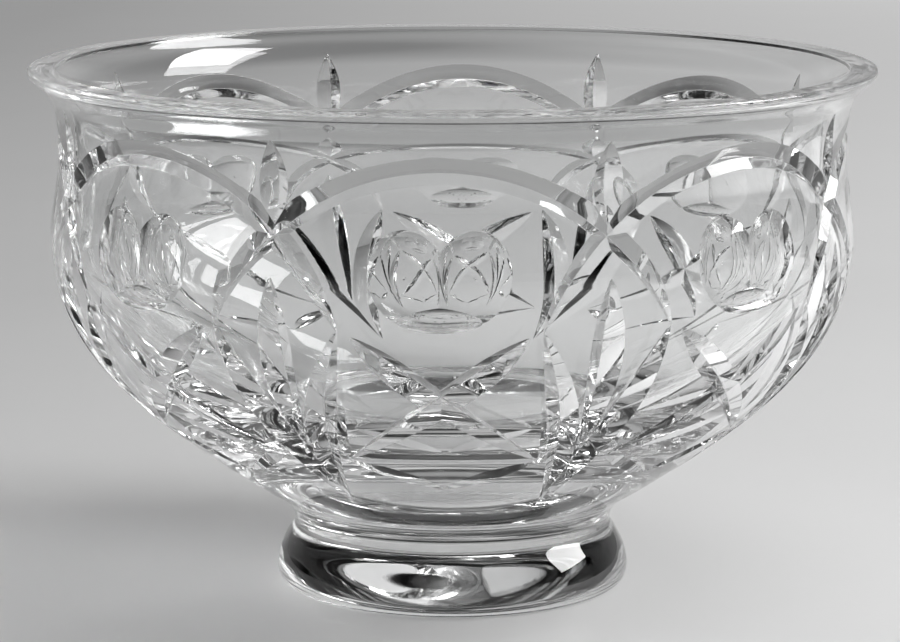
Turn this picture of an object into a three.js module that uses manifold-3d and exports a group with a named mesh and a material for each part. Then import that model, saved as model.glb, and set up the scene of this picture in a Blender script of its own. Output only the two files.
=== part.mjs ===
// Footed crystal bowl: a blown bowl with a wheel-cut wall, joined hot to a solid foot.
// Millimetres, +Z up. The origin is the centre of the face that the foot stands on.
// The middle of one cut panel faces -Y.

import * as THREE from 'three';
import { mergeVertices } from 'three/addons/utils/BufferGeometryUtils.js';
import Module from 'manifold-3d';

const wasm = await Module();
wasm.setup();

const { degToRad } = THREE.MathUtils;

// Heights, stacked from the table upwards
const footHeight = 18.7;
const bellyRise = 90.3;
const neckRise = 23;
const lipRise = 26;

// Outside diameters
const footDiameter = 107.4;
const waistDiameter = 96.4;
const bellyDiameter = 242.2;
const neckDiameter = 236.4;
const rimDiameter = 254;

// Glass thickness
const floorThickness = 22.3;
const bellyWall = 6.4;
const neckWall = 6;
const rimWall = 8.5;

// Rim: the height and lean of its outer face, and the rounds from its flat top to both sides
const rimFaceHeight = 2.6;
const rimFaceLean = 0.9;
const rimOuterRound = 1.1;
const rimInnerRound = 1.2;

// The shoulder where the waist opens into the bowl's wall
const shoulderReach = 11.9;
const shoulderRise = 12.6;
const shoulderSlope = degToRad(33.8);

// Foot: its widest height, the round of its lower edge, and the flat ring that it stands on round
// the hollow of its underside
const footWidestHeight = 4.2;
const footEdgeRound = 2.6;
const footRingWidth = 6;
const footHollowDepth = 3.8;

// How far each stretch of a profile keeps to its end directions, as a share of the stretch
const pull = {
  waist: 0.52,
  underShoulder: 0.38,
  overShoulder: 0.575,
  underBelly: 0.445,
  neck: 0.3,
  lip: 0.6,
  flareOut: 0.24,
  flareUp: 0.2,
  lipInside: 0.73,
  flareOutInside: 0.144,
  flareUpInside: 0.154,
  floor: 0.55,
  footEdge: 0.55,
  footWidest: 0.5,
  footWaist: 0.12,
};

// Cut pattern: equal panels round the wall, with mitre cuts from a V-edged wheel
const panelCount = 8;
const mitreAngle = degToRad(124);
const wheelRise = 0.8;
const wheelLift = 4;
const tipLift = 0.3;

// Arches: a circular arc on the unrolled wall, which crosses its neighbours and runs on below
const archRadius = 73;
const archSweep = degToRad(66.6);
const archAboveNeck = 8.4;
const archWidth = 6.8;
const archSkew = 0.2;
const archTaper = 0.17;

// Nodes where the arms of the arches end: an angle from the panel's middle and a drop from the belly
const nodeAngle = 13.4;
const nodeBelowBelly = 11;

// Diamond lines: from beside the nodes across the panel's middle, then back to the middle lower down
const diamondWidth = 9;
const diamondPeak = 0.25;
const diamondStartAngle = 12;
const diamondStartBelowBelly = 12.6;
const diamondEndAngle = 16.5;
const diamondEndBelowBelly = 53.1;
const diamondSag = 7;
const diamondFootBelowBelly = 63.5;
const diamondFootWidth = 6;

// Fan of three leaves under each crossing, and the single leaf above it
const leafPeak = 0.42;
const sideLeafWidth = 9.4;
const sideLeafBend = 19.2;
const sideLeafBendBelowBelly = 43;
const fanFootBelowBelly = 71.5;
const middleLeafWidth = 10.2;
const middleLeafTopAboveBelly = 3;
const middleLeafFootBelowBelly = 49;
const upperLeafWidth = 8.8;
const upperLeafFootAboveBelly = 15;
const upperLeafBelowRim = 9;
const evenPeak = 0.5;

// Tulip: two leaning petals over a lying oval, all shallow dishes. Flatness is the power by which
// the floor of a dish rises to its edge.
const dishFlatness = 2;
const petalDepth = 1.5;
const petalAcross = 21.6;
const petalAlong = 26.5;
const petalSpread = 8.7;
const petalLean = degToRad(15);
const petalAboveBelly = 3.4;
const tulipBaseAcross = 24.2;
const tulipBaseAlong = 7.2;
const tulipBaseBelowBelly = 7.8;
const tulipBaseDepth = 1.8;

// Facet counts
const roundFacets = 48;
const outerFacets = [3, 6, 3, 4];
const rimFacets = [1, 2, 1, 2];
const innerFacets = [3, 1, 5];
const footFacets = [4, 6];
const hollowFacets = 6;
const archStations = 12;
const leafStations = 6;
const dishFacets = 14;
const dishRings = [0.7, 0.92, 1.1];

// Places worked out from the sizes above
const bellyHeight = footHeight + bellyRise;
const neckHeight = bellyHeight + neckRise;
const rimHeight = neckHeight + lipRise;
const floorHeight = footHeight + floorThickness;
const waistRadius = waistDiameter / 2;
const bellyRadius = bellyDiameter / 2;
const neckRadius = neckDiameter / 2;
const rimRadius = rimDiameter / 2;
const panelAngle = 360 / panelCount;
const halfPanel = panelAngle / 2;
const degreesPerMm = 180 / (Math.PI * bellyRadius);

const point = (x, y) => new THREE.Vector2(x, y);

function bezier(start, startPull, endPull, end) {
  return new THREE.CubicBezierCurve(start, startPull, endPull, end);
}

function pathOf(...curves) {
  const path = new THREE.CurvePath();
  curves.forEach((curve) => path.add(curve));
  return path;
}

// Outside of the bowl, from the join at the waist up to the lower edge of the rim
function outerWall() {
  const waist = point(waistRadius, footHeight);
  const shoulder = point(waistRadius + shoulderReach, footHeight + shoulderRise);
  const slope = point(Math.cos(shoulderSlope), Math.sin(shoulderSlope));
  const belly = point(bellyRadius, bellyHeight);
  const neck = point(neckRadius, neckHeight);
  const rim = point(rimRadius - rimFaceLean, rimHeight - rimFaceHeight);
  const bodyRise = bellyRise - shoulderRise;
  return pathOf(
    bezier(
      waist,
      point(waist.x, waist.y + shoulderRise * pull.waist),
      shoulder.clone().addScaledVector(slope, -shoulderRise * pull.underShoulder),
      shoulder,
    ),
    bezier(
      shoulder,
      shoulder.clone().addScaledVector(slope, bodyRise * pull.overShoulder),
      point(belly.x, belly.y - bodyRise * pull.underBelly),
      belly,
    ),
    bezier(
      belly,
      point(belly.x, belly.y + neckRise * pull.neck),
      point(neck.x, neck.y - neckRise * pull.neck),
      neck,
    ),
    bezier(
      neck,
      point(neck.x, neck.y + lipRise * pull.lip),
      point(rim.x - lipRise * pull.flareOut, rim.y - lipRise * pull.flareUp),
      rim,
    ),
  );
}

// Rim: its outer face, the round over to the flat top, and the round down to the inside
function rimEdge() {
  const lower = point(rimRadius - rimFaceLean, rimHeight - rimFaceHeight);
  const widest = point(rimRadius, rimHeight - rimOuterRound);
  const topOuter = point(rimRadius - rimOuterRound, rimHeight);
  const inner = point(rimRadius - rimWall, rimHeight - rimInnerRound);
  const topInner = point(inner.x + rimInnerRound, rimHeight);
  const faceBend = point(widest.x, (lower.y + widest.y) / 2);
  return pathOf(
    new THREE.QuadraticBezierCurve(lower, faceBend, widest),
    new THREE.QuadraticBezierCurve(widest, point(widest.x, rimHeight), topOuter),
    new THREE.LineCurve(topOuter, topInner),
    new THREE.QuadraticBezierCurve(topInner, point(inner.x, rimHeight), inner),
  );
}

// Inside of the bowl, from the rim down to the middle of the floor
function innerWall() {
  const rim = point(rimRadius - rimWall, rimHeight - rimInnerRound);
  const neck = point(neckRadius - neckWall, neckHeight);
  const belly = point(bellyRadius - bellyWall, bellyHeight);
  const floor = point(0, floorHeight);
  const depth = bellyHeight - floorHeight;
  return pathOf(
    bezier(
      rim,
      point(rim.x - lipRise * pull.flareOutInside, rim.y - lipRise * pull.flareUpInside),
      point(neck.x, neck.y + lipRise * pull.lipInside),
      neck,
    ),
    bezier(
      neck,
      point(neck.x, neck.y - neckRise * pull.neck),
      point(belly.x, belly.y + neckRise * pull.neck),
      belly,
    ),
    bezier(
      belly,
      point(belly.x, belly.y - depth * pull.floor),
      point(belly.x * pull.floor, floor.y),
      floor,
    ),
  );
}

// Points along each curve of a path, with the shared ends taken once
function outline(path, facets) {
  return path.curves.flatMap((curve, index) => {
    const points = curve.getPoints(facets[index]);
    return index === 0 ? points : points.slice(1);
  });
}

// A profile from axis to axis, turned about +Z
function turned(profile) {
  return new THREE.LatheGeometry(profile, roundFacets).rotateX(Math.PI / 2);
}

// A closed geometry as a solid to cut with, and a solid as a geometry again
function toSolid(geometry) {
  const bare = geometry.clone();
  bare.deleteAttribute('normal');
  bare.deleteAttribute('uv');
  const merged = mergeVertices(bare);
  const corners = merged.index.array;
  const triangles = [];
  for (let i = 0; i < corners.length; i += 3) {
    const [a, b, c] = corners.slice(i, i + 3);
    if (a !== b && b !== c && c !== a) {
      triangles.push(a, b, c);
    }
  }
  return new wasm.Manifold(new wasm.Mesh({
    numProp: 3,
    vertProperties: Float32Array.from(merged.attributes.position.array),
    triVerts: Uint32Array.from(triangles),
  }));
}

function toGeometry(solid) {
  const mesh = solid.getMesh();
  const geometry = new THREE.BufferGeometry();
  geometry.setAttribute('position', new THREE.BufferAttribute(mesh.vertProperties, 3));
  geometry.setIndex(new THREE.BufferAttribute(mesh.triVerts, 1));
  geometry.computeVertexNormals();
  return geometry;
}

// The wall's surface: place and outward normal at an angle in degrees and a height
const wallPath = outerWall();

function wallProfileAt(height) {
  let low = 0;
  let high = 1;
  for (let halving = 0; halving < 40; halving += 1) {
    const middle = (low + high) / 2;
    if (wallPath.getPoint(middle).y < height) {
      low = middle;
    } else {
      high = middle;
    }
  }
  return { place: wallPath.getPoint(low), direction: wallPath.getTangent(low) };
}

function wallAt(angle, height) {
  const { place, direction } = wallProfileAt(height);
  const turn = degToRad(angle);
  const outward = new THREE.Vector3(Math.sin(turn), -Math.cos(turn), 0);
  return {
    position: outward.clone().multiplyScalar(place.x).setZ(place.y),
    normal: outward.clone().multiplyScalar(direction.y).setZ(-direction.x),
  };
}

// How deep the wheel is along a cut: it sinks over the lead-in and rises over the lead-out
function wheelDepth(along, leadIn, leadOut) {
  const toStart = Math.max(0, (leadIn - along) / leadIn);
  const toEnd = Math.max(0, (along - 1 + leadOut) / leadOut);
  return 1 - toStart ** 2 - toEnd ** 2;
}

// Mitre cut: a wheel's section lofted along a path of (angle, height) on the wall, which the valley
// of its V follows. The V opens until just above the wall, and the wheel's straight sides go on up.
// Skew makes the V wider on one side than on the other.
function mitreCut(path, width, { leadIn, leadOut, stations, skew = 0 }) {
  const flare = Math.tan(mitreAngle / 2);
  const fullDepth = width / 2 / flare;
  const tangentStep = 0.01;
  const positions = [];
  for (let station = 0; station <= stations; station += 1) {
    const along = station / stations;
    const here = path.getPoint(along);
    const ahead = path.getTangent(along).multiplyScalar(tangentStep).add(here);
    const { position, normal } = wallAt(here.x, here.y);
    const travel = wallAt(ahead.x, ahead.y).position.sub(position);
    const side = travel.cross(normal).normalize();
    const atTip = station === 0 || station === stations;
    const depth = atTip ? -tipLift : fullDepth * wheelDepth(along, leadIn, leadOut);
    const reach = (depth + wheelRise) * flare;
    const section = [
      [0, -depth],
      [reach * (1 + skew), wheelRise],
      [reach * (1 + skew), wheelLift],
      [-reach * (1 - skew), wheelLift],
      [-reach * (1 - skew), wheelRise],
    ];
    for (const [across, out] of section) {
      positions.push(...position.clone().addScaledVector(side, across).addScaledVector(normal, out));
    }
  }
  const corners = positions.length / 3 / (stations + 1);
  const triangles = [];
  for (let corner = 0; corner < stations * corners; corner += 1) {
    const next = (corner + 1) % corners === 0 ? corner + 1 - corners : corner + 1;
    triangles.push(corner, corner + corners, next, next, corner + corners, next + corners);
  }
  const end = stations * corners;
  for (let corner = 1; corner < corners - 1; corner += 1) {
    triangles.push(0, corner, corner + 1);
    triangles.push(end, end + corner + 1, end + corner);
  }
  const geometry = new THREE.BufferGeometry();
  geometry.setAttribute('position', new THREE.Float32BufferAttribute(positions, 3));
  geometry.setIndex(triangles);
  return toSolid(geometry);
}

// Leaf: a mitre cut that is deepest at its peak and runs out to a point at both ends
function leafCut(path, width, peak) {
  return mitreCut(path, width, { leadIn: peak, leadOut: 1 - peak, stations: leafStations });
}

// Dish: a shallow oval hollow, leaning by an angle. Its floor keeps to the wall's curve and rises to
// meet the wall at the oval; the cutter goes on a little over the edge and is closed by a point above.
function dishCut(angle, height, { across, along, lean, depth }) {
  const spot = (share, turn) => {
    const x = (across / 2) * share * Math.cos(turn);
    const y = (along / 2) * share * Math.sin(turn);
    const level = x * Math.cos(lean) + y * Math.sin(lean);
    const rise = y * Math.cos(lean) - x * Math.sin(lean);
    const { position, normal } = wallAt(angle + level * degreesPerMm, height + rise);
    return position.addScaledVector(normal, -depth * (1 - share ** dishFlatness));
  };
  const { position, normal } = wallAt(angle, height);
  const top = position.clone().addScaledVector(normal, wheelLift);
  const positions = [...spot(0, 0), ...top];
  for (const share of dishRings) {
    for (let facet = 0; facet < dishFacets; facet += 1) {
      positions.push(...spot(share, (facet / dishFacets) * 2 * Math.PI));
    }
  }
  const ringCorner = (ring, facet) => 2 + ring * dishFacets + (facet % dishFacets);
  const last = dishRings.length - 1;
  const triangles = [];
  for (let facet = 0; facet < dishFacets; facet += 1) {
    triangles.push(0, ringCorner(0, facet + 1), ringCorner(0, facet));
    triangles.push(1, ringCorner(last, facet), ringCorner(last, facet + 1));
    for (let ring = 0; ring < last; ring += 1) {
      const [a, b] = [ringCorner(ring, facet), ringCorner(ring, facet + 1)];
      const [c, d] = [ringCorner(ring + 1, facet), ringCorner(ring + 1, facet + 1)];
      triangles.push(a, b, c, b, d, c);
    }
  }
  const geometry = new THREE.BufferGeometry();
  geometry.setAttribute('position', new THREE.Float32BufferAttribute(positions, 3));
  geometry.setIndex(triangles);
  return toSolid(geometry);
}

// Arch of one panel
function archCut() {
  const archCentre = neckHeight + archAboveNeck - archRadius;
  const arc = new THREE.EllipseCurve(
    0, archCentre, archRadius * degreesPerMm, archRadius,
    Math.PI / 2 - archSweep, Math.PI / 2 + archSweep,
  );
  return mitreCut(arc, archWidth, {
    leadIn: archTaper, leadOut: archTaper, stations: archStations, skew: archSkew,
  });
}

// One sagging diamond line across the panel's middle, and the one from its end back to the middle
function diamondCuts(hand) {
  const start = point(-hand * diamondStartAngle, bellyHeight - diamondStartBelowBelly);
  const end = point(hand * diamondEndAngle, bellyHeight - diamondEndBelowBelly);
  const foot = point(0, bellyHeight - diamondFootBelowBelly);
  const bend = point((start.x + end.x) / 2, (start.y + end.y) / 2 - diamondSag);
  return [
    leafCut(new THREE.QuadraticBezierCurve(start, bend, end), diamondWidth, diamondPeak),
    leafCut(new THREE.LineCurve(end, foot), diamondFootWidth, evenPeak),
  ];
}

// Side leaf of a fan: it bends from its node to the foot of the fan
function sideLeafCut(hand) {
  const bent = new THREE.QuadraticBezierCurve(
    point(hand * nodeAngle, bellyHeight - nodeBelowBelly),
    point(hand * sideLeafBend, bellyHeight - sideLeafBendBelowBelly),
    point(hand * halfPanel, bellyHeight - fanFootBelowBelly),
  );
  return leafCut(bent, sideLeafWidth, leafPeak);
}

// Upright leaf on the line between two panels
function uprightLeafCut(top, foot, width, peak) {
  return leafCut(new THREE.LineCurve(point(halfPanel, top), point(halfPanel, foot)), width, peak);
}

// Tulip in the middle of a panel
function tulipCuts() {
  const petal = (hand) => dishCut(hand * petalSpread * degreesPerMm, bellyHeight + petalAboveBelly, {
    across: petalAcross,
    along: petalAlong,
    lean: hand * petalLean,
    depth: petalDepth,
  });
  const base = dishCut(0, bellyHeight - tulipBaseBelowBelly, {
    across: tulipBaseAcross,
    along: tulipBaseAlong,
    lean: 0,
    depth: tulipBaseDepth,
  });
  return [petal(-1), petal(1), base];
}

function panelCuts() {
  return [
    archCut(),
    ...diamondCuts(-1),
    ...diamondCuts(1),
    sideLeafCut(-1),
    sideLeafCut(1),
    uprightLeafCut(
      bellyHeight + middleLeafTopAboveBelly, bellyHeight - middleLeafFootBelowBelly,
      middleLeafWidth, leafPeak,
    ),
    uprightLeafCut(
      rimHeight - upperLeafBelowRim, bellyHeight + upperLeafFootAboveBelly,
      upperLeafWidth, evenPeak,
    ),
    ...tulipCuts(),
  ];
}

// Bowl: one turned blank, cut panel by panel
function bowlGeometry() {
  const blank = turned([
    point(0, footHeight),
    ...outline(wallPath, outerFacets),
    ...outline(rimEdge(), rimFacets).slice(1),
    ...outline(innerWall(), innerFacets).slice(1),
  ]);
  let bowl = toSolid(blank);
  const cuts = panelCuts();
  for (let panel = 0; panel < panelCount; panel += 1) {
    for (const cut of cuts) {
      bowl = bowl.subtract(cut.rotate([0, 0, panel * panelAngle]));
    }
  }
  return toGeometry(bowl);
}

// Foot: a solid disc with a rounded side, a flat ring to stand on and a shallow hollow inside the ring
function footGeometry() {
  const widest = point(footDiameter / 2, footWidestHeight);
  const waist = point(waistRadius, footHeight);
  const baseRadius = widest.x - footEdgeRound;
  const sideRise = footHeight - footWidestHeight;
  const side = pathOf(
    bezier(
      point(baseRadius, 0),
      point(baseRadius + footEdgeRound * pull.footEdge, 0),
      point(widest.x, widest.y * (1 - pull.footEdge)),
      widest,
    ),
    bezier(
      widest,
      point(widest.x, widest.y + sideRise * pull.footWidest),
      point(waist.x, waist.y - sideRise * pull.footWaist),
      waist,
    ),
  );
  const hollowRadius = baseRadius - footRingWidth;
  const hollow = new THREE.QuadraticBezierCurve(
    point(0, footHollowDepth), point(hollowRadius / 2, footHollowDepth), point(hollowRadius, 0),
  );
  return turned([
    ...hollow.getPoints(hollowFacets),
    ...outline(side, footFacets),
    point(0, footHeight),
  ]);
}

function crystal() {
  return new THREE.MeshStandardMaterial({
    color: 0xf1f4f5,
    roughness: 0.03,
    metalness: 0,
    transparent: true,
    opacity: 0.35,
  });
}

function subPart(name, geometry) {
  const mesh = new THREE.Mesh(geometry, crystal());
  mesh.name = name;
  return mesh;
}

const footedBowl = new THREE.Group();
footedBowl.add(subPart('bowl', bowlGeometry()));
footedBowl.add(subPart('foot', footGeometry()));

export default footedBowl;
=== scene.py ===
from math import cos, hypot, pi, radians, sin, tan

import bmesh
import bpy
import numpy as np
from mathutils import Matrix, Vector


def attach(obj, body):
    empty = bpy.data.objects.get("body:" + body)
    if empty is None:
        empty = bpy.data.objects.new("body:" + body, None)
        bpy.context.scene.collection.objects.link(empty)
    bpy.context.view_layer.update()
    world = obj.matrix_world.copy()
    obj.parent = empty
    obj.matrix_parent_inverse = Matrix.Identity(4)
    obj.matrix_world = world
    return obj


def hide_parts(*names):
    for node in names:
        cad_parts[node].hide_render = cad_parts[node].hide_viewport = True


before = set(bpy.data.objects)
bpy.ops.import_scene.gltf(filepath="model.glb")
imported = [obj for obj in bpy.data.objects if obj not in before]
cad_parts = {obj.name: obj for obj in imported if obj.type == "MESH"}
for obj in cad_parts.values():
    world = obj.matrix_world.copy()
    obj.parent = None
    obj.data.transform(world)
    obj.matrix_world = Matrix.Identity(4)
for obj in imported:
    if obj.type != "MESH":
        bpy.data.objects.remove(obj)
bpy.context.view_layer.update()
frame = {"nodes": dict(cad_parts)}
print("frame loaded:", ", ".join(frame["nodes"]))

scene = bpy.context.scene
mm = 0.001


# Small helpers for curves and meshes

def bezier(a, b, c, d, steps, first=False):
    points = []
    for i in range(0 if first else 1, steps + 1):
        t = i / steps
        s = 1 - t
        w = (s ** 3, 3 * s * s * t, 3 * s * t * t, t ** 3)
        points.append(tuple(sum(k * p[n] for k, p in zip(w, (a, b, c, d))) for n in (0, 1)))
    return points


def quadratic(a, b, c, steps, first=False):
    inner = [tuple(p[n] + (b[n] - p[n]) * 2 / 3 for n in (0, 1)) for p in (a, c)]
    return bezier(a, inner[0], inner[1], c, steps, first)


def meshObject(name, bm):
    mesh = bpy.data.meshes.new(name)
    bm.to_mesh(mesh)
    bm.free()
    piece = bpy.data.objects.new(name, mesh)
    scene.collection.objects.link(piece)
    return piece


def turnedMesh(profile, segments):
    # a profile of (radius, height) in mm, from axis to axis, turned about z
    # each face keeps its ring's number
    bm = bmesh.new()
    surface = bm.faces.layers.int.new("surface")
    rings = []
    for r, z in profile:
        if r < 1e-6:
            rings.append([bm.verts.new((0, 0, z * mm))])
            continue
        turns = [2 * pi * i / segments for i in range(segments)]
        rings.append([bm.verts.new((r * sin(a) * mm, -r * cos(a) * mm, z * mm)) for a in turns])
    for ring, (low, high) in enumerate(zip(rings, rings[1:])):
        for i in range(segments):
            j = (i + 1) % segments
            corners = [low[i % len(low)], low[j % len(low)], high[j % len(high)], high[i % len(high)]]
            bm.faces.new(list(dict.fromkeys(corners)))[surface] = ring
    bmesh.ops.recalc_face_normals(bm, faces=bm.faces)
    return bm


# The bowl's form, in mm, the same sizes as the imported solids

bowlForm = {
    "footTop": 18.7, "belly": 109.0, "neck": 132.0, "rim": 158.0,
    "waistRadius": 48.2, "bellyRadius": 121.1, "neckRadius": 118.2, "rimRadius": 127.0,
    "floor": 22.3, "bellyWall": 6.4, "neckWall": 6.0, "rimWall": 8.5,
    "rimFaceHeight": 2.6, "rimFaceLean": 0.9, "rimOuterRound": 1.1, "rimInnerRound": 1.2,
    "shoulderReach": 11.9, "shoulderRise": 12.6, "shoulderSlope": radians(33.8),
    "segments": 240, "wallSteps": (12, 40, 14, 24), "wallLookupSteps": 160,
    "rimSteps": 6, "roundSteps": 8, "lipSteps": 24, "neckSteps": 12, "insideSteps": 48,
    "joinRings": (0.35, 0.7),  # rings on the flat join, as shares of the waist's radius
    "pulls": {  # how far each curve's handles reach, as shares of the stretch that the curve spans
        "waist": 0.52, "shoulderBelow": 0.38, "shoulderAbove": 0.575, "bellyBelow": 0.445, "neck": 0.3,
        "lip": 0.6, "rimAcross": 0.24, "rimDown": 0.2,
        "insideRimAcross": 0.144, "insideRimDown": 0.154, "insideLip": 0.73,
        "insideBelly": 0.55, "floor": 0.55,
    },
}


def bowlOutside(form):
    # four curves from the waist to the lower edge of the rim
    pulls = form["pulls"]
    waist = (form["waistRadius"], form["footTop"])
    rise = form["shoulderRise"]
    shoulder = (waist[0] + form["shoulderReach"], waist[1] + rise)
    slope = (cos(form["shoulderSlope"]), sin(form["shoulderSlope"]))
    belly = (form["bellyRadius"], form["belly"])
    neck = (form["neckRadius"], form["neck"])
    rim = (form["rimRadius"] - form["rimFaceLean"], form["rim"] - form["rimFaceHeight"])
    body = belly[1] - shoulder[1]
    hold = pulls["neck"] * (neck[1] - belly[1])
    lip = form["rim"] - neck[1]

    def along(k):
        return (shoulder[0] + slope[0] * k, shoulder[1] + slope[1] * k)

    aboveWaist = (waist[0], waist[1] + pulls["waist"] * rise)
    underBelly = (belly[0], belly[1] - pulls["bellyBelow"] * body)
    belowRim = (rim[0] - pulls["rimAcross"] * lip, rim[1] - pulls["rimDown"] * lip)
    return [
        (waist, aboveWaist, along(-pulls["shoulderBelow"] * rise), shoulder),
        (shoulder, along(pulls["shoulderAbove"] * body), underBelly, belly),
        (belly, (belly[0], belly[1] + hold), (neck[0], neck[1] - hold), neck),
        (neck, (neck[0], neck[1] + pulls["lip"] * lip), belowRim, rim),
    ]


def bowlProfile(form):
    pulls = form["pulls"]
    curves = bowlOutside(form)
    profile = [(0, form["footTop"])]
    profile += [(form["waistRadius"] * share, form["footTop"]) for share in form["joinRings"]]
    for curve, steps in zip(curves, form["wallSteps"]):
        profile += bezier(*curve, steps, first=curve is curves[0])
    top = form["rim"]
    lower = curves[-1][-1]
    widest = (form["rimRadius"], top - form["rimOuterRound"])
    topOuter = (form["rimRadius"] - form["rimOuterRound"], top)
    inner = (form["rimRadius"] - form["rimWall"], top - form["rimInnerRound"])
    profile += quadratic(lower, (widest[0], (lower[1] + widest[1]) / 2), widest, form["rimSteps"])
    profile += quadratic(widest, (widest[0], top), topOuter, form["roundSteps"])
    topInner = (inner[0] + form["rimInnerRound"], top)
    profile += quadratic(topInner, (inner[0], top), inner, form["roundSteps"], first=True)
    neck = (form["neckRadius"] - form["neckWall"], form["neck"])
    belly = (form["bellyRadius"] - form["bellyWall"], form["belly"])
    floor = (0, form["footTop"] + form["floor"])
    lip = top - form["neck"]
    hold = pulls["neck"] * (neck[1] - belly[1])
    depth = pulls["insideBelly"] * (belly[1] - floor[1])
    underRim = (inner[0] - pulls["insideRimAcross"] * lip, inner[1] - pulls["insideRimDown"] * lip)
    overNeck = (neck[0], neck[1] + pulls["insideLip"] * lip)
    underNeck, overBelly = (neck[0], neck[1] - hold), (belly[0], belly[1] + hold)
    underBelly, besideFloor = (belly[0], belly[1] - depth), (pulls["floor"] * belly[0], floor[1])
    profile += bezier(inner, underRim, overNeck, neck, form["lipSteps"])
    profile += bezier(neck, underNeck, overBelly, belly, form["neckSteps"])
    profile += bezier(belly, underBelly, besideFloor, floor, form["insideSteps"])
    return profile


wallPoints = []
for wallCurve in bowlOutside(bowlForm):
    wallPoints += bezier(*wallCurve, bowlForm["wallLookupSteps"], first=not wallPoints)


def wallAt(angle, height):
    # place and outward normal on the outside, at an angle in degrees and a height in mm
    low, high = 0, len(wallPoints) - 2
    while low < high:
        middle = (low + high + 1) // 2
        if wallPoints[middle][1] <= height:
            low = middle
        else:
            high = middle - 1
    (r0, z0), (r1, z1) = wallPoints[low], wallPoints[low + 1]
    t = (height - z0) / (z1 - z0)
    dr, dz = r1 - r0, z1 - z0
    size = hypot(dr, dz)
    out = Vector((sin(radians(angle)), -cos(radians(angle)), 0))
    place = out * (r0 + dr * t) + Vector((0, 0, height))
    return place, out * (dz / size) + Vector((0, 0, -dr / size))


# Wheel cuts of one panel, in mm and degrees from the panel's middle

wheelCuts = {
    "panels": 8, "archMitre": radians(114), "leafMitre": radians(102), "rise": 0.8, "lift": 4.0, "tip": 0.3,
    "archRadius": 73.0, "archSweep": radians(66.6), "archAboveNeck": 8.4,
    "archWidth": 6.8, "archSkew": 0.2, "archTaper": 0.17,
    "sideLeafTop": (13.4, 11.0),
    "diamondStart": (12.0, 12.6), "diamondEnd": (16.5, 53.1), "diamondSag": 7.0, "diamondFoot": 63.5,
    "diamondWidth": 9.0, "diamondFootWidth": 6.0, "diamondPeak": 0.25,
    "sideLeafWidth": 9.4, "sideLeafBend": (19.2, 43.0), "fanFoot": 71.5,
    "middleLeafWidth": 10.2, "middleLeafTop": 3.0, "middleLeafFoot": 49.0,
    "upperLeafWidth": 8.8, "upperLeafFoot": 15.0, "upperLeafBelowRim": 9.0,
    "leafPeak": 0.42,
    "dishOver": 1.1, "dishFlatness": 3.0, "petalDepth": 1.9,
    "petalAcross": 21.6, "petalAlong": 26.5, "petalSpread": 8.7, "petalLean": radians(15),
    "petalAboveBelly": 3.4,
    "tulipBaseAcross": 24.2, "tulipBaseAlong": 7.2, "tulipBaseBelow": 7.8,
    "tulipBaseDepth": 2.2,
    "archStations": 96, "leafStations": 40, "dishRings": 32, "probe": 0.002,
}
degreesPerMm = 180 / (pi * bowlForm["bellyRadius"])
halfPanel = 180 / wheelCuts["panels"]


# What each cut face follows, for true normals: ground strips by number, with the normals at both ends
stripBase = 1000
strips = []


def mitreShell(bm, path, width, mitre, leadIn, leadOut, stations, skew, turn):
    # a wheel's section led along a path on the wall, valley on the path, sinking and rising at the ends
    flare = tan(mitre / 2)
    full = width / 2 / flare
    rise, lift = wheelCuts["rise"], wheelCuts["lift"]
    surface = bm.faces.layers.int["surface"]
    rows = []
    for i in range(stations + 1):
        t = i / stations
        angle, height = path(t)
        place, normal = wallAt(angle, height)
        before, after = path(max(0, t - wheelCuts["probe"])), path(min(1, t + wheelCuts["probe"]))
        travel = wallAt(*after)[0] - wallAt(*before)[0]
        side = travel.cross(normal).normalized()
        sink = 1 - max(0, (leadIn - t) / leadIn) ** 2 - max(0, (t - 1 + leadOut) / leadOut) ** 2
        depth = -wheelCuts["tip"] if i in (0, stations) else full * sink
        reach = (depth + rise) * flare
        right, left = side * reach * (1 + skew), -side * reach * (1 - skew)
        low, high = place + normal * rise, place + normal * lift
        spots = (place - normal * depth, low + right, high + right, high + left, low + left)
        rows.append([bm.verts.new(turn @ (spot * mm)) for spot in spots])
    bm.faces.new(rows[0])
    bm.faces.new(rows[-1][::-1])
    ground = []
    for i, row in enumerate(rows):
        valley = [rows[min(max(n, 0), stations)][0].co for n in (i - 1, i + 1)]
        travel = valley[1] - valley[0]
        ground.append({k: travel.cross(row[k].co - row[0].co).normalized() for k in (1, 4)})
    for i, (low, high) in enumerate(zip(rows, rows[1:])):
        for k in (1, 2, 3):
            bm.faces.new((low[k], high[k], high[k + 1], low[k + 1]))
        for k in (1, 4):
            face = bm.faces.new((low[0], high[0], high[k], low[k]))
            face[surface] = stripBase + len(strips)
            start = low[0].co.copy()
            strips.append((start, high[0].co - start, ground[i][k], ground[i + 1][k]))


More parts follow.
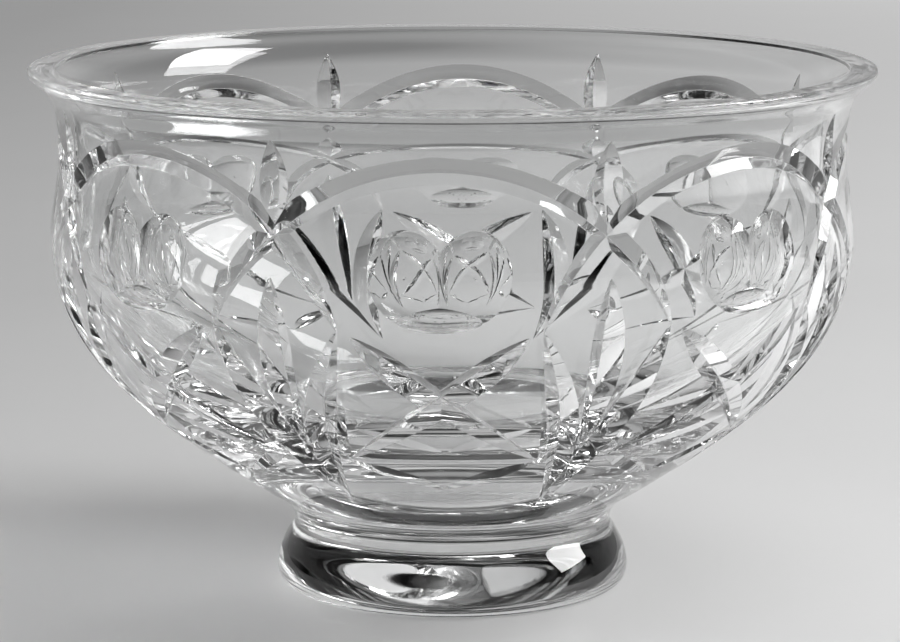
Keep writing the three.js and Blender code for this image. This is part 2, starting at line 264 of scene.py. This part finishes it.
def dishShell(bm, angle, height, across, along, lean, depth, turn):
    # a dish sunk into the wall: its floor keeps to the wall's curve and turns up to meet it at an oval edge
    rings = wheelCuts["dishRings"]
    over, flatness = wheelCuts["dishOver"], wheelCuts["dishFlatness"]
    surface = bm.faces.layers.int["surface"]

    def spot(share, around):
        x = across / 2 * share * cos(around)
        y = along / 2 * share * sin(around)
        level = x * cos(lean) + y * sin(lean)
        rise = y * cos(lean) - x * sin(lean)
        place, normal = wallAt(angle + level * degreesPerMm, height + rise)
        return place - normal * depth * (1 - share ** flatness)

    def slant(share, around):
        probe = wheelCuts["probe"]
        radial = spot(share + probe, around) - spot(share - probe, around)
        return radial.cross(spot(share, around + probe) - spot(share, around - probe)).normalized()

    place, normal = wallAt(angle, height)
    top = bm.verts.new(turn @ ((place + normal * wheelCuts["lift"]) * mm))
    turns = [pi * j / rings for j in range(2 * rings)]
    shares = [over * i / rings for i in range(1, rings + 1)]
    rows = [[bm.verts.new(turn @ (spot(0, 0) * mm))]]
    tilts = [[turn @ normal]]
    for share in shares:
        rows.append([bm.verts.new(turn @ (spot(share, around) * mm)) for around in turns])
        tilts.append([turn @ slant(share, around) for around in turns])
    for i, (low, high) in enumerate(zip(rows, rows[1:])):
        for j in range(2 * rings):
            n = (j + 1) % (2 * rings)
            corners = [low[j % len(low)], high[j], high[n], low[n % len(low)]]
            face = bm.faces.new(list(dict.fromkeys(corners)))
            face[surface] = stripBase + len(strips)
            start = low[j % len(low)].co.copy()
            near, far = tilts[i][j % len(low)] + tilts[i][n % len(low)], tilts[i + 1][j] + tilts[i + 1][n]
            strips.append((start, high[j].co - start, near.normalized(), far.normalized()))
    for j in range(2 * rings):
        bm.faces.new((rows[-1][j], top, rows[-1][(j + 1) % (2 * rings)]))


def straight(start, end):
    return lambda t: (start[0] + (end[0] - start[0]) * t, start[1] + (end[1] - start[1]) * t)


def bent(start, bend, end):
    def at(t):
        s = 1 - t
        return tuple(s * s * start[n] + 2 * s * t * bend[n] + t * t * end[n] for n in (0, 1))
    return at


def archPath(t):
    radius = wheelCuts["archRadius"]
    sweep = wheelCuts["archSweep"]
    around = pi / 2 - sweep + 2 * sweep * t
    top = bowlForm["neck"] + wheelCuts["archAboveNeck"]
    return (radius * degreesPerMm * cos(around), top - radius + radius * sin(around))


def belowBelly(spot, hand=1):
    return (hand * spot[0], bowlForm["belly"] - spot[1])


def leaf(path, width, peak):
    mitre, stations = wheelCuts["leafMitre"], wheelCuts["leafStations"]
    return lambda bm, turn: mitreShell(bm, path, width, mitre, peak, 1 - peak, stations, 0, turn)


def dish(*sizes):
    return lambda bm, turn: dishShell(bm, *sizes, turn)


def panelCuts():
    # each cut of one panel, in the order that the wheel makes them
    c = wheelCuts
    belly = bowlForm["belly"]
    taper = c["archTaper"]
    cuts = [lambda bm, turn: mitreShell(bm, archPath, c["archWidth"], c["archMitre"], taper, taper,
                                        c["archStations"], c["archSkew"], turn)]
    for hand in (-1, 1):
        start = belowBelly(c["diamondStart"], -hand)
        end = belowBelly(c["diamondEnd"], hand)
        sag = ((start[0] + end[0]) / 2, (start[1] + end[1]) / 2 - c["diamondSag"])
        cuts.append(leaf(bent(start, sag, end), c["diamondWidth"], c["diamondPeak"]))
        cuts.append(leaf(straight(end, (0, belly - c["diamondFoot"])), c["diamondFootWidth"], 0.5))
        fanFoot = (hand * halfPanel, belly - c["fanFoot"])
        side = bent(belowBelly(c["sideLeafTop"], hand), belowBelly(c["sideLeafBend"], hand), fanFoot)
        cuts.append(leaf(side, c["sideLeafWidth"], c["leafPeak"]))
        cuts.append(dish(hand * c["petalSpread"] * degreesPerMm, belly + c["petalAboveBelly"],
                         c["petalAcross"], c["petalAlong"], hand * c["petalLean"], c["petalDepth"]))
    middle = straight((halfPanel, belly + c["middleLeafTop"]), (halfPanel, belly - c["middleLeafFoot"]))
    upper = straight((halfPanel, bowlForm["rim"] - c["upperLeafBelowRim"]),
                     (halfPanel, belly + c["upperLeafFoot"]))
    cuts.append(leaf(middle, c["middleLeafWidth"], c["leafPeak"]))
    cuts.append(leaf(upper, c["upperLeafWidth"], 0.5))
    cuts.append(dish(0, belly - c["tulipBaseBelow"], c["tulipBaseAcross"], c["tulipBaseAlong"], 0,
                     c["tulipBaseDepth"]))
    return cuts


def cutAway(piece, cutterMesh):
    cutter = meshObject("cutter", cutterMesh)
    boolean = piece.modifiers.new("wheel", "BOOLEAN")
    boolean.operation = "DIFFERENCE"
    boolean.solver = "MANIFOLD"
    boolean.object = cutter
    graph = bpy.context.evaluated_depsgraph_get()
    done = bpy.data.meshes.new_from_object(piece.evaluated_get(graph))
    piece.modifiers.clear()
    old = piece.data
    piece.data = done
    bpy.data.meshes.remove(old)
    bpy.data.objects.remove(cutter)


def wheelCut(piece):
    # every other panel at a time, so that no cutter meets its own neighbour
    for cut in panelCuts():
        for first in (0, 1):
            bm = bmesh.new()
            bm.faces.layers.int.new("surface")
            for panel in range(first, wheelCuts["panels"], 2):
                cut(bm, Matrix.Rotation(2 * pi * panel / wheelCuts["panels"], 3, "Z"))
            bmesh.ops.recalc_face_normals(bm, faces=bm.faces)
            cutAway(piece, bm)


bowlRings = bowlProfile(bowlForm)
bowl = meshObject("bowl_cut_crystal", turnedMesh(bowlRings, bowlForm["segments"]))
wheelCut(bowl)
print("bowl cut:", len(bowl.data.polygons), "faces")


# Foot: a solid disc with a rounded side, standing on a flat ring round a shallow hollow

footForm = {
    "top": bowlForm["footTop"], "waistRadius": bowlForm["waistRadius"],
    "widestRadius": 53.7, "widestHeight": 4.2,
    "edgeRound": 2.6, "ringWidth": 6.0, "hollow": 3.8,
    "edgePull": 0.55, "widestPull": 0.5, "waistPull": 0.12,
    "segments": 240, "hollowSteps": 32, "edgeSteps": 18, "sideSteps": 30,
    "joinRings": bowlForm["joinRings"],
}


def footProfile(form):
    widest = (form["widestRadius"], form["widestHeight"])
    waist = (form["waistRadius"], form["top"])
    base = widest[0] - form["edgeRound"]
    rise = waist[1] - widest[1]
    edge = form["edgePull"]
    inside = base - form["ringWidth"]
    crown = (0, form["hollow"])
    aboveWidest = (widest[0], widest[1] + form["widestPull"] * rise)
    belowWaist = (waist[0], waist[1] - form["waistPull"] * rise)
    profile = quadratic(crown, (inside / 2, form["hollow"]), (inside, 0), form["hollowSteps"], first=True)
    profile += bezier((base, 0), (base + edge * form["edgeRound"], 0),
                      (widest[0], widest[1] * (1 - edge)), widest, form["edgeSteps"], first=True)
    profile += bezier(widest, aboveWidest, belowWaist, waist, form["sideSteps"])
    profile += [(form["waistRadius"] * share, form["top"]) for share in reversed(form["joinRings"])]
    profile.append((0, form["top"]))
    return profile


footRings = footProfile(footForm)
foot = meshObject("foot_crystal", turnedMesh(footRings, footForm["segments"]))
print("foot turned:", len(foot.data.polygons), "faces")


# Crystal: clear, polished, with the faint waves and haze that hand polishing leaves

crystalFinish = {
    "ior": 1.545, "tint": (0.985, 0.99, 0.99, 1), "roughLow": 0.0, "roughHigh": 0.012,
    "hazeFrom": 0.45, "hazeTo": 0.8, "waveScale": 22.0, "waveDetail": 1.5,
    "waveBump": 0.02, "waveDistance": 0.0002, "edge": 0.00025, "shade": 0.65,
}


def crystalMaterial(name, finish, seed):
    material = bpy.data.materials.new(name)
    material.use_nodes = True
    tree = material.node_tree
    shader = tree.nodes["Principled BSDF"]
    shader.inputs["Base Color"].default_value = finish["tint"]
    shader.inputs["IOR"].default_value = finish["ior"]
    shader.inputs["Transmission Weight"].default_value = 1.0
    place = tree.nodes.new("ShaderNodeTexCoord")
    waves = tree.nodes.new("ShaderNodeTexNoise")
    waves.noise_dimensions = "4D"
    waves.inputs["W"].default_value = seed
    waves.inputs["Scale"].default_value = finish["waveScale"]
    waves.inputs["Detail"].default_value = finish["waveDetail"]
    tree.links.new(place.outputs["Object"], waves.inputs["Vector"])
    haze = tree.nodes.new("ShaderNodeMapRange")
    haze.inputs["To Min"].default_value = finish["roughLow"]
    haze.inputs["To Max"].default_value = finish["roughHigh"]
    haze.inputs["From Min"].default_value = finish["hazeFrom"]
    haze.inputs["From Max"].default_value = finish["hazeTo"]
    tree.links.new(waves.outputs["Fac"], haze.inputs["Value"])
    tree.links.new(haze.outputs["Result"], shader.inputs["Roughness"])
    bump = tree.nodes.new("ShaderNodeBump")
    bump.inputs["Strength"].default_value = finish["waveBump"]
    bump.inputs["Distance"].default_value = finish["waveDistance"]
    tree.links.new(waves.outputs["Fac"], bump.inputs["Height"])
    edges = tree.nodes.new("ShaderNodeBevel")
    edges.inputs["Radius"].default_value = finish["edge"]
    tree.links.new(edges.outputs["Normal"], bump.inputs["Normal"])
    tree.links.new(bump.outputs["Normal"], shader.inputs["Normal"])

    # the lamps' light comes through the walls, so the bowl's own shadow stays light
    through = tree.nodes.new("ShaderNodeBsdfTransparent")
    through.inputs["Color"].default_value = (finish["shade"],) * 3 + (1,)
    ray = tree.nodes.new("ShaderNodeLightPath")
    glass = tree.nodes.new("ShaderNodeMixShader")
    tree.links.new(ray.outputs["Is Shadow Ray"], glass.inputs["Fac"])
    tree.links.new(shader.outputs["BSDF"], glass.inputs[1])
    tree.links.new(through.outputs["BSDF"], glass.inputs[2])
    tree.links.new(glass.outputs["Shader"], tree.nodes["Material Output"].inputs["Surface"])
    return material


def joinMaterial():
    # the hot join is one glass, so its two faces let light straight through
    material = bpy.data.materials.new("fused_join")
    material.use_nodes = True
    tree = material.node_tree
    tree.nodes.remove(tree.nodes["Principled BSDF"])
    clear = tree.nodes.new("ShaderNodeBsdfTransparent")
    tree.links.new(clear.outputs["BSDF"], tree.nodes["Material Output"].inputs["Surface"])
    return material


fusedJoin = joinMaterial()
joinHeight = footForm["top"] * mm


# two rings that meet at less than this run on smoothly
smoothTurn = radians(24)


def ringNormals(rings):
    # the profile's outward normals at both ends of every ring, shared where it runs on smoothly
    points = np.array(rings) * mm
    step = np.diff(points, axis=0)
    flat = np.stack([step[:, 1], -step[:, 0]], axis=1) / np.linalg.norm(step, axis=1)[:, None]
    starts, ends = flat.copy(), flat.copy()
    for i in range(1, len(flat)):
        if flat[i - 1] @ flat[i] > cos(smoothTurn):
            shared = flat[i - 1] + flat[i]
            ends[i - 1] = starts[i] = shared / np.linalg.norm(shared)
    return points[:-1], step, starts, ends


def trueNormals(piece, rings):
    # every corner gets the normal of the curved surface that its face was made from
    mesh = piece.data
    spots = np.empty(len(mesh.vertices) * 3)
    mesh.vertices.foreach_get("co", spots)
    corner = np.empty(len(mesh.loops), int)
    mesh.loops.foreach_get("vertex_index", corner)
    sides = np.empty(len(mesh.polygons), int)
    mesh.polygons.foreach_get("loop_total", sides)
    flat = np.empty(len(mesh.polygons) * 3)
    mesh.polygons.foreach_get("normal", flat)
    surface = np.empty(len(mesh.polygons), int)
    mesh.attributes["surface"].data.foreach_get("value", surface)
    spots = spots.reshape(-1, 3)[corner]
    code = np.repeat(surface, sides)
    flat = np.repeat(flat.reshape(-1, 3), sides, axis=0)
    normals = flat.copy()

    pick = code < stripBase
    starts, step, first, last = (part[code[pick]] for part in ringNormals(rings))
    radius = np.hypot(spots[pick, 0], spots[pick, 1])
    across = np.stack([radius, spots[pick, 2]], axis=1) - starts
    share = np.clip((across * step).sum(1) / (step * step).sum(1), 0, 1)[:, None]
    turned = first * (1 - share) + last * share
    outward = spots[pick, :2] / np.maximum(radius, 1e-9)[:, None]
    normals[pick] = np.column_stack([outward * turned[:, :1], turned[:, 1]])

    pick = code >= stripBase
    if pick.any():
        table = np.array(strips)[code[pick] - stripBase]
        starts, step, first, last = (table[:, n] for n in range(4))
        share = np.clip(((spots[pick] - starts) * step).sum(1) / (step * step).sum(1), 0, 1)[:, None]
        normals[pick] = first * (1 - share) + last * share

    normals *= np.where((normals * flat).sum(1) < 0, -1, 1)[:, None]
    normals /= np.maximum(np.linalg.norm(normals, axis=1), 1e-12)[:, None]
    mesh.shade_smooth()
    mesh.normals_split_custom_set(normals)


def finishGlass(piece, rings, material, node):
    mesh = piece.data
    mesh.materials.clear()
    mesh.materials.append(material)
    mesh.materials.append(fusedJoin)
    for face in mesh.polygons:
        flat = all(abs(mesh.vertices[v].co.z - joinHeight) < 1e-6 for v in face.vertices)
        face.material_index = 1 if flat else 0
    trueNormals(piece, rings)
    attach(piece, "root")
    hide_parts(node)


finishGlass(bowl, bowlRings, crystalMaterial("bowl_crystal", crystalFinish, 1.7), "bowl")
finishGlass(foot, footRings, crystalMaterial("foot_crystal", crystalFinish, 5.3), "foot")
print("crystal finished")


# Floor: one wide pale sweep, a hair under the foot, with a painted glow that keeps it pale in the distance

floorSweep = {
    "radius": 14.0, "segments": 96, "drop": 0.00015, "rough": 0.4,
    "colour": 0.7, "mottle": 0.02, "mottleScale": 9.0, "mottleDetail": 3.0,
    # the painted glow on the far floor: where it starts and where it is full, its strength at the left and
    # the right, and how wide that runs
    "paintedGlowFrom": 0.5, "paintedGlowTo": 2.1, "paintedGlowLeft": 0.16, "paintedGlowRight": 0.41, "paintedGlowReach": 0.4,
}


def floorMaterial(settings):
    material = bpy.data.materials.new("pale_sweep")
    material.use_nodes = True
    tree = material.node_tree
    shader = tree.nodes["Principled BSDF"]
    shader.inputs["Roughness"].default_value = settings["rough"]
    place = tree.nodes.new("ShaderNodeTexCoord")
    mottle = tree.nodes.new("ShaderNodeTexNoise")
    mottle.inputs["Scale"].default_value = settings["mottleScale"]
    mottle.inputs["Detail"].default_value = settings["mottleDetail"]
    tree.links.new(place.outputs["Object"], mottle.inputs["Vector"])
    shade = tree.nodes.new("ShaderNodeMapRange")
    shade.inputs["To Min"].default_value = settings["colour"] * (1 - settings["mottle"])
    shade.inputs["To Max"].default_value = settings["colour"] * (1 + settings["mottle"])
    tree.links.new(mottle.outputs["Fac"], shade.inputs["Value"])
    tree.links.new(shade.outputs["Result"], shader.inputs["Base Color"])

    # painted light: the far side glows pale for the eye and for what the glass shows, more at the right,
    # where the soft box stands
    split = tree.nodes.new("ShaderNodeSeparateXYZ")
    tree.links.new(place.outputs["Object"], split.inputs["Vector"])
    side = tree.nodes.new("ShaderNodeMapRange")
    side.inputs["From Min"].default_value = -settings["paintedGlowReach"]
    side.inputs["From Max"].default_value = settings["paintedGlowReach"]
    side.inputs["To Min"].default_value = settings["paintedGlowLeft"]
    side.inputs["To Max"].default_value = settings["paintedGlowRight"]
    tree.links.new(split.outputs["X"], side.inputs["Value"])
    pale = tree.nodes.new("ShaderNodeMapRange")
    pale.inputs["From Min"].default_value = settings["paintedGlowFrom"]
    pale.inputs["From Max"].default_value = settings["paintedGlowTo"]
    tree.links.new(side.outputs["Result"], pale.inputs["To Max"])
    tree.links.new(split.outputs["Y"], pale.inputs["Value"])
    ray = tree.nodes.new("ShaderNodeLightPath")
    seen = ray.outputs["Is Camera Ray"]
    for other in ("Is Glossy Ray", "Is Transmission Ray"):
        either = tree.nodes.new("ShaderNodeMath")
        either.operation = "MAXIMUM"
        tree.links.new(seen, either.inputs[0])
        tree.links.new(ray.outputs[other], either.inputs[1])
        seen = either.outputs["Value"]
    glow = tree.nodes.new("ShaderNodeMath")
    glow.operation = "MULTIPLY"
    tree.links.new(pale.outputs["Result"], glow.inputs[0])
    tree.links.new(seen, glow.inputs[1])
    shader.inputs["Emission Color"].default_value = (1, 1, 1, 1)
    tree.links.new(glow.outputs["Value"], shader.inputs["Emission Strength"])
    return material


floorMesh = bmesh.new()
bmesh.ops.create_circle(floorMesh, cap_ends=True, segments=floorSweep["segments"],
                        radius=floorSweep["radius"])
floor = meshObject("floor_sweep", floorMesh)
floor.location.z = -floorSweep["drop"]
floor.data.materials.append(floorMaterial(floorSweep))
print("floor laid")


# Studio light: one large soft box at the right and a dim fill overhead, in a room whose far wall is pale

studio = {
    "right": {"at": (1.5, 0.12, 1.08), "size": (0.85, 0.95), "power": 36, "mirrored": True},
    "fill": {"at": (0.7, -0.1, 1.9), "size": (1.6, 1.6), "power": 20, "mirrored": False},
    "aim": (0, 0, 0.08),
    "room": ((0.5, 0.38), (0.6, 0.32), (0.68, 0.015), (1.0, 0.008)),
    "wallFrom": 0.35, "wallTo": 0.8, "dark": 0.02,
}


def softBox(name, settings, aim):
    lamp = bpy.data.lights.new(name, "AREA")
    lamp.shape = "RECTANGLE"
    lamp.size, lamp.size_y = settings["size"]
    lamp.energy = settings["power"]
    box = bpy.data.objects.new(name, lamp)
    box.location = settings["at"]
    box.rotation_euler = (Vector(aim) - box.location).to_track_quat("-Z", "Y").to_euler()
    box.visible_camera = False
    box.visible_glossy = box.visible_transmission = settings["mirrored"]
    scene.collection.objects.link(box)


def roomWorld(settings):
    # grey by height and side: pale low down at the far wall, dark overhead and behind the camera
    levels = settings["room"]
    world = bpy.data.worlds.new("studio")
    world.use_nodes = True
    tree = world.node_tree
    place = tree.nodes.new("ShaderNodeTexCoord")
    split = tree.nodes.new("ShaderNodeSeparateXYZ")
    tree.links.new(place.outputs["Generated"], split.inputs["Vector"])
    height = tree.nodes.new("ShaderNodeMapRange")
    height.inputs["From Min"].default_value = -1
    tree.links.new(split.outputs["Z"], height.inputs["Value"])
    ramp = tree.nodes.new("ShaderNodeValToRGB")
    stops = ramp.color_ramp.elements
    while len(stops) < len(levels):
        stops.new(0.5)
    for stop, (position, grey) in zip(stops, levels):
        stop.position = position
        stop.color = (grey, grey, grey, 1)
    tree.links.new(height.outputs["Result"], ramp.inputs["Fac"])
    tree.links.new(ramp.outputs["Color"], tree.nodes["Background"].inputs["Color"])
    wall = tree.nodes.new("ShaderNodeMapRange")
    wall.inputs["From Min"].default_value = settings["wallFrom"]
    wall.inputs["From Max"].default_value = settings["wallTo"]
    wall.inputs["To Min"].default_value = settings["dark"]
    tree.links.new(split.outputs["Y"], wall.inputs["Value"])
    tree.links.new(wall.outputs["Result"], tree.nodes["Background"].inputs["Strength"])
    return world


softBox("soft_box_right", studio["right"], studio["aim"])
softBox("fill_overhead", studio["fill"], studio["aim"])
scene.world = roomWorld(studio)
print("lights set")


# Camera: the photograph's angle, from a fit of the rim, the foot and the outline

shot = {
    "away": 1.016, "height": 0.264685, "pitch": 0.180619, "turn": radians(1.7),
    "focal": 3391.0, "width": 900, "offset": -0.00077, "sensor": 36,
}
camera = bpy.data.objects.new("camera", bpy.data.cameras.new("camera"))
scene.collection.objects.link(camera)
scene.camera = camera
camera.data.sensor_width = shot["sensor"]
camera.data.lens = shot["focal"] / shot["width"] * shot["sensor"]
forward = Vector((-sin(shot["turn"]), cos(shot["turn"]), 0))
rightward = Vector((cos(shot["turn"]), sin(shot["turn"]), 0))
camera.location = rightward * shot["offset"] - forward * shot["away"] + Vector((0, 0, shot["height"]))
camera.rotation_euler = (pi / 2 - shot["pitch"], 0, shot["turn"])
camera.data.dof.use_dof = False
print("camera placed")

scene.view_settings.view_transform = "Standard"
scene.cycles.max_bounces = 32
scene.cycles.transmission_bounces = 32
scene.cycles.glossy_bounces = 24
scene.cycles.transparent_max_bounces = 32
